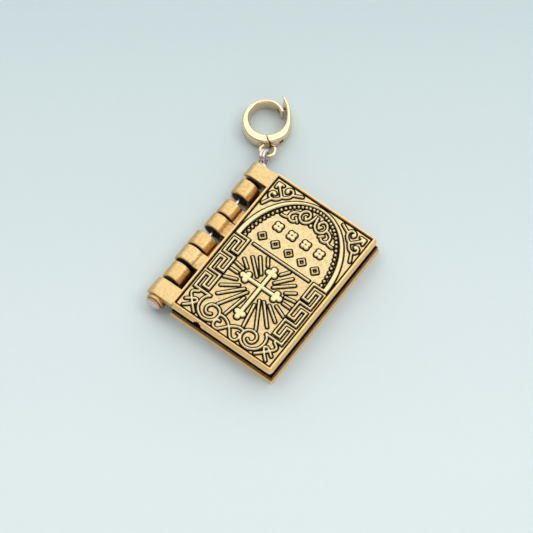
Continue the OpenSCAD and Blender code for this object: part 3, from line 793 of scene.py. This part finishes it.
BEVEL = 0.3
BEVEL_LOW = 0.2
BEVEL_HIGH = 0.52
back_plate = slab("back_cover_plate", 0, -END_LAP, COVER_W + BACK_LAP, COVER_H + 2 * END_LAP,
                  0, PLATE_T, 0.1, GOLD,
                  [(BEVEL, 1.0), (BEVEL, BEVEL_HIGH + 0.05), (BEVEL, BEVEL_HIGH), (0, BEVEL_LOW)], BEVEL,
                  (1.3, 1.0, BACK_LAP + 0.16, BACK_LAP + 0.04))
back_barrels = build_barrels("back_barrels", "back", 0.001, PLATE_T - 0.001)
back_places = cover_places(back_plate)
side_z = back_places[:, 2]
fore_in = COVER_W + BACK_LAP - back_places[:, 0]
end_in = np.minimum(back_places[:, 1] + END_LAP, COVER_H + END_LAP - back_places[:, 1])
inward = np.minimum(fore_in, end_in)
# Painted shade: the side above the bevel and the strip under the front cover's edge are darkened and browned,
# black along the fore edge and brown at the ends, where the gap between the covers lies in shade
gap_shade = np.where(fore_in < end_in + 0.01, 1.0, 0.62) * smooth(BACK_LAP - 0.1, BACK_LAP + 0.05, inward)
gap_shade *= smooth(1.3, 1.0, inward)
set_layer(back_plate, "marks_and_shade", np.maximum(gap_shade, 0.42) * (side_z > BEVEL_HIGH + 0.02)
          * (inward < 1.2))
set_layer(back_plate, "film_and_shade", 0.95 * (side_z > BEVEL_HIGH + 0.02) * (inward < 1.2))
set_layer(back_plate, "rubbed", np.full(len(side_z), 0.5))
# Painted highlight: the lower bevel is lightened to a clear yellow in place of the bright reflection it shows
set_layer(back_plate, "painted_side_highlight", 0.9 * (side_z < BEVEL_HIGH + 0.02) * (side_z > 0.001))
for piece in (back_plate, back_barrels):
    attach(piece, "back")
    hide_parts("back_cover")

page = slab("page_plate", 0, LEAF_INSET, COVER_W - LEAF_INSET, COVER_H - 2 * LEAF_INSET,
            LEAF_Z, LEAF_Z + LEAF_T, 0.12, GOLD)
page_barrels = build_barrels("page_barrels", "leaf", LEAF_Z + 0.001, LEAF_Z + LEAF_T - 0.001)
set_layer(page, "marks_and_shade", np.full(len(page.data.vertices), 0.45))
set_layer(page, "film_and_shade", np.full(len(page.data.vertices), 0.6))
for piece in (page, page_barrels):
    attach(piece, "leaf")
    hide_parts("inner_leaf")

# Clasp: places are [u, v] about the middle of its chain opening, turned and moved to the spine

CLASP_TURN = radians(36.7)
CLASP_AT = (-7.82, 37.65)
CLASP_Z = 0.04
BAND_H = 2.6
RING_C, RING_R = (-0.2, -0.42), 4.117
OPEN_C, OPEN_R = (-0.14, 0.08), 3.0
END_C, END_R, END_IN_R = (-0.14, 0.593), 3.107, 2.457
END_ANGLE = 19
LEVER_LOW, LEVER_LOW_R = (-0.05, -0.42), 4.118
LEVER_HIGH, LEVER_HIGH_R = (-3.93, 0.3), 7.98
LEVER_IN_LOW, LEVER_IN_LOW_R = (0.1, 0.16), 3.06
LEVER_IN_HIGH, LEVER_IN_HIGH_R = (-2.6, 1.1), 5.83
TIP_C, TIP_R = (2.92, 3.85), 0.36
PIVOT = (1.6, -3.2)
CHEEK_R = 1.68
CHEEK_GAP = 0.1
TONGUE_T = 0.8
TONGUE_R = 0.6
SLOT_T = 1.0
SLOT_REACH = 0.75
STUD_AT = (2.78, 2.43)
STUD_R = 0.3
STUD_NECK_R = 0.18
SNAP_R = 0.45
SNAP_ANGLE = 4
LOOP_C, LOOP_MEAN_R, LOOP_WIRE_R = (0.05, -5.33), 1.25, 0.37


def clasp_place(u, v, z):
    c, s = cos(CLASP_TURN), sin(CLASP_TURN)
    return (CLASP_AT[0] + u * c - v * s, CLASP_AT[1] + u * s + v * c, CLASP_Z + z)


def ray_to_circle(start, angle, centre, r):
    """Where a ray leaves a circle that it starts in."""
    dx, dy = cos(angle), sin(angle)
    ox, oy = start[0] - centre[0], start[1] - centre[1]
    b = ox * dx + oy * dy
    s = -b + sqrt(b * b - (ox * ox + oy * oy - r * r))
    return start[0] + s * dx, start[1] + s * dy


def soft_section(inner, outer, low, high, r, inset=0.0):
    """Rounded rectangle between two places of the band's sides, seen across the band."""
    (ax, ay), (bx, by) = inner, outer
    wide = hypot(bx - ax, by - ay)
    ux, uy = (bx - ax) / wide, (by - ay) / wide
    inset = min(inset, wide * 0.46)
    s0, s1, z0, z1 = inset, wide - inset, low + inset, high - inset
    r = max(0.02, min(r, (s1 - s0) * 0.48, (z1 - z0) * 0.48))
    ring = (arc(s1 - r, z1 - r, r, 0, 90, 5) + arc(s0 + r, z1 - r, r, 90, 180, 5)
            + arc(s0 + r, z0 + r, r, 180, 270, 5) + arc(s1 - r, z0 + r, r, 270, 360, 5))
    return [clasp_place(ax + s * ux, ay + s * uy, z) for s, z in ring]


SECTION_POINTS = 24
BAND_EDGE = 0.42


def band_piece(name, sections):
    points = [p for section in sections for p in section]
    return make_piece(name, points, rings_to_faces(len(sections), SECTION_POINTS), PALE)


def nose(inner, outer, direction, r):
    """Sections that round a band off past its end, towards direction."""
    ends = []
    for k in range(1, 6):
        t = radians(90) * k / 5
        step = r * sin(t)
        shift = (direction[0] * step, direction[1] * step)
        ends.append(soft_section((inner[0] + shift[0], inner[1] + shift[1]),
                                 (outer[0] + shift[0], outer[1] + shift[1]),
                                 0, BAND_H, 0.3 * BAND_EDGE + 0.1, r * (1 - cos(t)) + 0.001))
    return ends


def build_ring():
    """Fixed half of the clasp with its cast loop, the tongue of its hinge and the snap hole."""
    sections = []
    start = radians(END_ANGLE)
    first_in = ray_to_circle(END_C, start, END_C, END_IN_R)
    first_out = ray_to_circle(END_C, start, END_C, END_R)
    back = (sin(start), -cos(start))
    sections += list(reversed(nose(first_in, first_out, back, (END_R - END_IN_R) / 2)))
    for k in range(25):
        t = start + (pi / 2 - start) * k / 24
        sections.append(soft_section(ray_to_circle(END_C, t, END_C, END_IN_R),
                                     ray_to_circle(END_C, t, END_C, END_R), 0, BAND_H, BAND_EDGE))
    stop = radians(300)
    for k in range(1, 73):
        t = pi / 2 + (stop - pi / 2) * k / 72
        sections.append(soft_section(ray_to_circle(OPEN_C, t, OPEN_C, OPEN_R),
                                     ray_to_circle(OPEN_C, t, RING_C, RING_R), 0, BAND_H, BAND_EDGE))
    ring = band_piece("clasp_ring_band", sections)
    pivot_cut = rod_piece("pivot_cut", clasp_place(*PIVOT, -1), clasp_place(*PIVOT, BAND_H + 1),
                          CHEEK_R + CHEEK_GAP, 72)
    closed_x = PIVOT[0] + (STUD_AT[0] - PIVOT[0]) * cos(radians(SNAP_ANGLE)) - (
        STUD_AT[1] - PIVOT[1]) * sin(radians(SNAP_ANGLE))
    closed_y = PIVOT[1] + (STUD_AT[0] - PIVOT[0]) * sin(radians(SNAP_ANGLE)) + (
        STUD_AT[1] - PIVOT[1]) * cos(radians(SNAP_ANGLE))
    toward = Vector((closed_x - END_C[0], closed_y - END_C[1])).normalized()
    hole = rod_piece("snap_hole_cut",
                     clasp_place(END_C[0] + toward.x * 1.8, END_C[1] + toward.y * 1.8, BAND_H / 2),
                     clasp_place(END_C[0] + toward.x * 4.2, END_C[1] + toward.y * 4.2, BAND_H / 2),
                     SNAP_R, 32)
    trim(ring, "DIFFERENCE", pivot_cut, hole)
    loop = loop_piece("loop_cast", LOOP_C, LOOP_MEAN_R, LOOP_WIRE_R)
    trim(ring, "UNION", build_tongue(), loop)
    crease(ring, 40)
    return ring


def build_tongue():
    """Thin tongue of the hinge, which the lever's cheeks hold between them."""
    sections = []
    low = (BAND_H - TONGUE_T) / 2
    a0 = atan2(-3.9, -0.6)
    a1 = atan2(PIVOT[1] - LEVER_LOW[1], PIVOT[0] - LEVER_LOW[0])
    for k in range(13):
        t = a0 + (a1 - a0) * k / 12
        inner = ray_to_circle(LEVER_LOW, t, LEVER_IN_LOW, LEVER_IN_LOW_R + 0.06)
        outer = ray_to_circle(LEVER_LOW, t, LEVER_LOW, LEVER_LOW_R - 0.05)
        sections.append(soft_section(inner, outer, low, low + TONGUE_T, 0.05))
    tongue = band_piece("tongue", sections)
    knuckle = rod_piece("tongue_end", clasp_place(*PIVOT, low + 0.01),
                        clasp_place(*PIVOT, low + TONGUE_T - 0.01), TONGUE_R, 40)
    trim(tongue, "UNION", knuckle)
    return tongue


def loop_piece(name, centre, mean_r, wire_r):
    """Closed wire loop lying level at half the band's height."""
    points = []
    around, across_count = 64, 20
    for i in range(around):
        a = 2 * pi * i / around
        for j in range(across_count):
            b = 2 * pi * j / across_count
            far = mean_r + wire_r * cos(b)
            points.append(clasp_place(centre[0] + far * cos(a), centre[1] + far * sin(a),
                                      BAND_H / 2 + wire_r * sin(b)))
    faces = []
    for i in range(around):
        for j in range(across_count):
            i2, j2 = (i + 1) % around, (j + 1) % across_count
            faces.append((i * across_count + j, i2 * across_count + j,
                          i2 * across_count + j2, i * across_count + j2))
    return make_piece(name, points, faces, PALE)


def lever_sides(angle):
    """Inner and outer place of the lever along a ray from the middle of the opening."""
    outer = ray_to_circle(OPEN_C, angle, LEVER_LOW, LEVER_LOW_R)
    if outer[1] > 0.1:
        outer = ray_to_circle(OPEN_C, angle, LEVER_HIGH, LEVER_HIGH_R)
    inner = ray_to_circle(OPEN_C, angle, LEVER_IN_LOW, LEVER_IN_LOW_R)
    if inner[1] > 0.4:
        inner = ray_to_circle(OPEN_C, angle, LEVER_IN_HIGH, LEVER_IN_HIGH_R)
    return inner, outer


def build_lever():
    """Hinged half of the clasp: two cheeks round the tongue, a thumb tip and the snap stud."""
    first = radians(-100)
    last = atan2(TIP_C[1] - OPEN_C[1] - 0.1, TIP_C[0] - OPEN_C[0])
    sections = []
    for k in range(81):
        inner, outer = lever_sides(first + (last - first) * k / 80)
        sections.append(soft_section(inner, outer, 0, BAND_H, BAND_EDGE))
    inner, outer = lever_sides(last)
    before_in, before_out = lever_sides(last - 0.03)
    ahead = Vector((inner[0] + outer[0] - before_in[0] - before_out[0],
                    inner[1] + outer[1] - before_in[1] - before_out[1])).normalized()
    sections += nose(inner, outer, (ahead.x, ahead.y), TIP_R)
    lever = band_piece("clasp_lever_band", sections)

    # Left of the pivot only the round cheeks stay
    far = 7
    bite = arc(PIVOT[0], PIVOT[1], CHEEK_R, 90, 270, 40)
    keep_out = [(PIVOT[0] - far, PIVOT[1] - far), (PIVOT[0], PIVOT[1] - far)] + list(reversed(bite)) + [
        (PIVOT[0], -2.0 + 0.2), (PIVOT[0] - far, -2.0 + 0.2)]
    keep_out = [p for i, p in enumerate(keep_out) if i == 0 or p != keep_out[i - 1]]
    cheek_cut = prism("cheek_cut", keep_out, -1, BAND_H + 1)
    tangent = atan2(PIVOT[1] - LEVER_LOW[1], PIVOT[0] - LEVER_LOW[0]) + pi / 2
    tx, ty = cos(tangent), sin(tangent)
    nx, ny = -ty, tx
    slot_box = []
    for s, t in ((SLOT_REACH, -2), (SLOT_REACH, 2), (-6, 2), (-6, -2)):
        slot_box.append((PIVOT[0] + s * tx + t * nx, PIVOT[1] + s * ty + t * ny))
    slot_cut = prism("slot_cut", slot_box, (BAND_H - SLOT_T) / 2, (BAND_H + SLOT_T) / 2)
    trim(lever, "DIFFERENCE", cheek_cut, slot_cut)

    stud = ball_piece("stud", clasp_place(*STUD_AT, BAND_H / 2), STUD_R)
    neck = rod_piece("stud_neck", clasp_place(*STUD_AT, BAND_H / 2),
                     clasp_place(STUD_AT[0] + 0.6, STUD_AT[1], BAND_H / 2), STUD_NECK_R, 24)
    trim(lever, "UNION", neck, stud)
    crease(lever, 40)
    return lever


def prism(name, outline, low, high):
    """An outline in the clasp's plane, run upwards."""
    area = sum(a[0] * b[1] - b[0] * a[1] for a, b in zip(outline, outline[1:] + outline[:1]))
    if area < 0:
        outline = list(reversed(outline))
    points = [clasp_place(u, v, z) for z in (low, high) for u, v in outline]
    return make_piece(name, points, rings_to_faces(2, len(outline)), PALE)


def ball_piece(name, at, r, material=None):
    mesh = bpy.data.meshes.new(name)
    body = bmesh.new()
    bmesh.ops.create_uvsphere(body, u_segments=32, v_segments=20, radius=r * MM)
    bmesh.ops.translate(body, verts=body.verts, vec=Vector(place(at)))
    body.to_mesh(mesh)
    body.free()
    mesh.materials.append(material or PALE)
    mesh.shade_smooth()
    piece = bpy.data.objects.new(name, mesh)
    bpy.context.scene.collection.objects.link(piece)
    return piece


def brown_joints(piece):
    """A brown line of old polish along the joint of the halves, in the snap hole and on the stud."""
    co = cover_places(piece)
    pivot = np.array(clasp_place(*PIVOT, 0)[:2])
    stud = np.array(clasp_place(*STUD_AT, BAND_H / 2))
    off = co[:, :2] - pivot
    joint = abs(np.hypot(off[:, 0], off[:, 1]) - CHEEK_R - CHEEK_GAP / 2)
    brown = smooth(0.09, 0.06, joint) * (off @ (cos(CLASP_TURN), sin(CLASP_TURN)) < 0)
    brown = np.maximum(brown, 0.8 * smooth(0.75, 0.6, np.linalg.norm(co - stud, axis=1)))
    set_layer(piece, "marks_and_shade", brown)


clasp_ring = build_ring()
brown_joints(clasp_ring)
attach(clasp_ring, "back")
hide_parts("clasp_ring")
clasp_lever = build_lever()
brown_joints(clasp_lever)
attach(clasp_lever, "lever")
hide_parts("clasp_lever")
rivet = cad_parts["clasp_rivet"]
rivet.data.materials.clear()
rivet.data.materials.append(PALE)

# Pin: one wire through all barrels, bent to an eye at the clasp end, with a domed head at the foot

HEAD_BACK = -0.1 - FOOT_REACH - 0.05
EYE_R = 1.38
EYE_REACH = 1.68
EYE_LEAN = radians(20)
EYE_TILT = radians(18)
EYE_Z = 1.72
STEM_Y = 0.3
STEM_ANGLE = 152
EYE_TURN = 480      # degrees of wire in the eye: its end lies beside its start
WIRE_STEP = 0.56
HEAD_R = 1.45
HEAD_EDGE = 0.2
HEAD_DOME = 0.497


def eye_point(angle, offset):
    """A place on the eye: angle round it in degrees, offset along its axis."""
    lean = Vector((-sin(EYE_LEAN), cos(EYE_LEAN), 0))
    loop = Vector(clasp_place(*LOOP_C, 0)).to_2d().to_3d()
    middle = loop - lean * EYE_REACH + Vector((0, 0, EYE_Z))
    tilt = -Vector((cos(CLASP_TURN), sin(CLASP_TURN), 0)) * sin(EYE_TILT)
    up = (tilt + Vector((0, 0, cos(EYE_TILT)))).normalized()
    axis = lean.cross(up).normalized()
    t = radians(angle)
    return middle + lean * (EYE_R * cos(t)) + up * (EYE_R * sin(t)) + axis * offset


def tube(name, path, r, sides, material):
    """Round wire along a path, with domed ends."""
    path = [Vector(p) for p in path]
    points = []
    side = Vector((0, 0, 1))
    rings = 0
    for i, at in enumerate(path):
        ahead = (path[min(i + 1, len(path) - 1)] - path[max(i - 1, 0)]).normalized()
        side = (side - ahead * side.dot(ahead)).normalized()
        other = ahead.cross(side)
        scales = [(1.0, 0.0)]
        if i == 0:
            scales = [(0.35, -0.30), (0.8, -0.18), (1.0, 0.0)]
        if i == len(path) - 1:
            scales = [(1.0, 0.0), (0.8, 0.18), (0.35, 0.30)]
        for scale, step in scales:
            for k in range(sides):
                t = 2 * pi * k / sides
                points.append(tuple(at + ahead * step * r / 0.3 * 0.9
                                    + (side * cos(t) + other * sin(t)) * r * scale))
            rings += 1
    return make_piece(name, points, rings_to_faces(rings, sides), material)


def build_pin():
    path = [Vector((PIN_X, y, PIN_Z)) for y in np.linspace(HEAD_BACK - 0.3, COVER_H - 0.4, 30)]
    turns = [STEM_ANGLE - EYE_TURN * k / 90 for k in range(91)]
    spread = EYE_TURN / 360 * WIRE_STEP
    eye = [eye_point(a, spread * (k / 90 - 0.5)) for k, a in enumerate(turns)]
    bend = Vector((PIN_X, COVER_H + STEM_Y, PIN_Z))
    lead = curve([tuple(path[-1]), tuple(path[-1].lerp(bend, 0.6)), tuple(bend.lerp(eye[0], 0.35)),
                  tuple(eye[0])], 5)
    path = path[:-1] + [Vector(p) for p in lead[:-1]] + eye
    pin = tube("pin_wire", path, WIRE_R, 18, WIRE)
    head = build_head()
    trim(pin, "UNION", head)
    crease(pin, 50)
    co = cover_places(pin)
    rim = np.hypot(co[:, 0] - PIN_X, co[:, 2] - PIN_Z)
    set_layer(pin, "marks_and_shade", smooth(1.15, 1.35, rim) * (co[:, 1] < 0))
    return pin


def build_head():
    """Low domed head against the first barrel, with a soft rim."""
    profile = []
    dome_r = (HEAD_R ** 2 + HEAD_DOME ** 2) / (2 * HEAD_DOME)
    front = HEAD_BACK - HEAD_EDGE - HEAD_DOME
    widest = HEAD_R - 0.05
    for k in range(1, 13):
        r = widest * k / 12
        profile.append((front + dome_r - sqrt(dome_r ** 2 - r * r), r))
    profile += [(HEAD_BACK - HEAD_EDGE + 0.03, HEAD_R - 0.01), (HEAD_BACK - 0.08, HEAD_R - 0.005),
                (HEAD_BACK - 0.02, HEAD_R - 0.04), (HEAD_BACK, HEAD_R - 0.1)]
    points = []
    sides = 48
    for y, r in profile:
        for k in range(sides):
            t = 2 * pi * k / sides
            points.append((PIN_X + r * cos(t), y, PIN_Z + r * sin(t)))
    return make_piece("pin_head", points, [tuple(reversed(f)) for f in rings_to_faces(len(profile), sides)], WIRE)


pin = build_pin()
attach(pin, "back")
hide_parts("hinge_pin")

# Table, camera and light

TARGET = Vector(place((7.76, 16.452, 0)))
DISTANCE = 0.6
ELEVATION = radians(65.693)
PIXELS_PER_MM = 6.001
FRAME_PIXELS = 533
SENSOR = 36

back_way = Vector((sin(AZIMUTH) * cos(ELEVATION), -cos(AZIMUTH) * cos(ELEVATION), sin(ELEVATION)))
camera_data = bpy.data.cameras.new("camera")
camera_data.sensor_width = SENSOR
camera_data.lens = PIXELS_PER_MM * (DISTANCE / MM) / FRAME_PIXELS * SENSOR
camera_data.clip_start = 0.01
camera = bpy.data.objects.new("camera", camera_data)
camera.location = TARGET + back_way * DISTANCE
camera.rotation_euler = back_way.to_track_quat("Z", "Y").to_euler()
bpy.context.scene.collection.objects.link(camera)
bpy.context.scene.camera = camera

table_half = 1.2
table_mesh = bpy.data.meshes.new("table")
table_mesh.from_pydata([(-table_half, -table_half, 0), (table_half, -table_half, 0),
                        (table_half, table_half, 0), (-table_half, table_half, 0)], [], [(0, 1, 2, 3)])
table_mesh.materials.append(CARD)
table = bpy.data.objects.new("table", table_mesh)
bpy.context.scene.collection.objects.link(table)


def soft_box(name, direction, distance, size, watts, colour):
    """Square soft light that looks at the charm."""
    data = bpy.data.lights.new(name, "AREA")
    data.shape = "SQUARE"
    data.size = size
    data.energy = watts
    data.color = linear(colour)[:3]
    light = bpy.data.objects.new(name, data)
    way = Vector(direction).normalized()
    light.location = TARGET + way * distance
    light.rotation_euler = way.to_track_quat("Z", "Y").to_euler()
    bpy.context.scene.collection.objects.link(light)


def from_view(sideways, towards, up):
    """A direction given as seen by the camera: right, towards the viewer along the table, up."""
    flat = Vector((sin(AZIMUTH), -cos(AZIMUTH), 0))
    right = Vector((cos(AZIMUTH), sin(AZIMUTH), 0))
    return right * sideways + flat * towards + Vector((0, 0, up))


soft_box("window_box", from_view(0.05, -0.7, 1.0), 1.0, 2.0, 16.5, "#fffdf8")
soft_box("room_fill", from_view(0.2, 1.0, 0.55), 1.2, 1.0, 2.2, "#fffaf0")
soft_box("side_lamp", (0.54, 0.33, 0.77), 1.5, 0.5, 3, "#fff8ea")

world = bpy.data.worlds.new("studio")
bpy.context.scene.world = world
world.use_nodes = True
world.node_tree.nodes.clear()
# Pale walls stand round the table: lighter low down than overhead
way = add_node(world.node_tree, "ShaderNodeTexCoord")
height = add_node(world.node_tree, "ShaderNodeSeparateXYZ", {"Vector": way.outputs["Generated"]})
walls = add_node(world.node_tree, "ShaderNodeMapRange", {"Value": height.outputs["Z"]})
walls.inputs["From Min"].default_value = 0.1
walls.inputs["From Max"].default_value = 0.5
walls.inputs["To Min"].default_value = 0.85
walls.inputs["To Max"].default_value = 0.3
sky = add_node(world.node_tree, "ShaderNodeBackground", {"Strength": walls.outputs["Result"]},
               Color=linear("#eef4f5"))
add_node(world.node_tree, "ShaderNodeOutputWorld", {"Surface": sky.outputs["Background"]})

bpy.context.scene.view_settings.view_transform = "Standard"
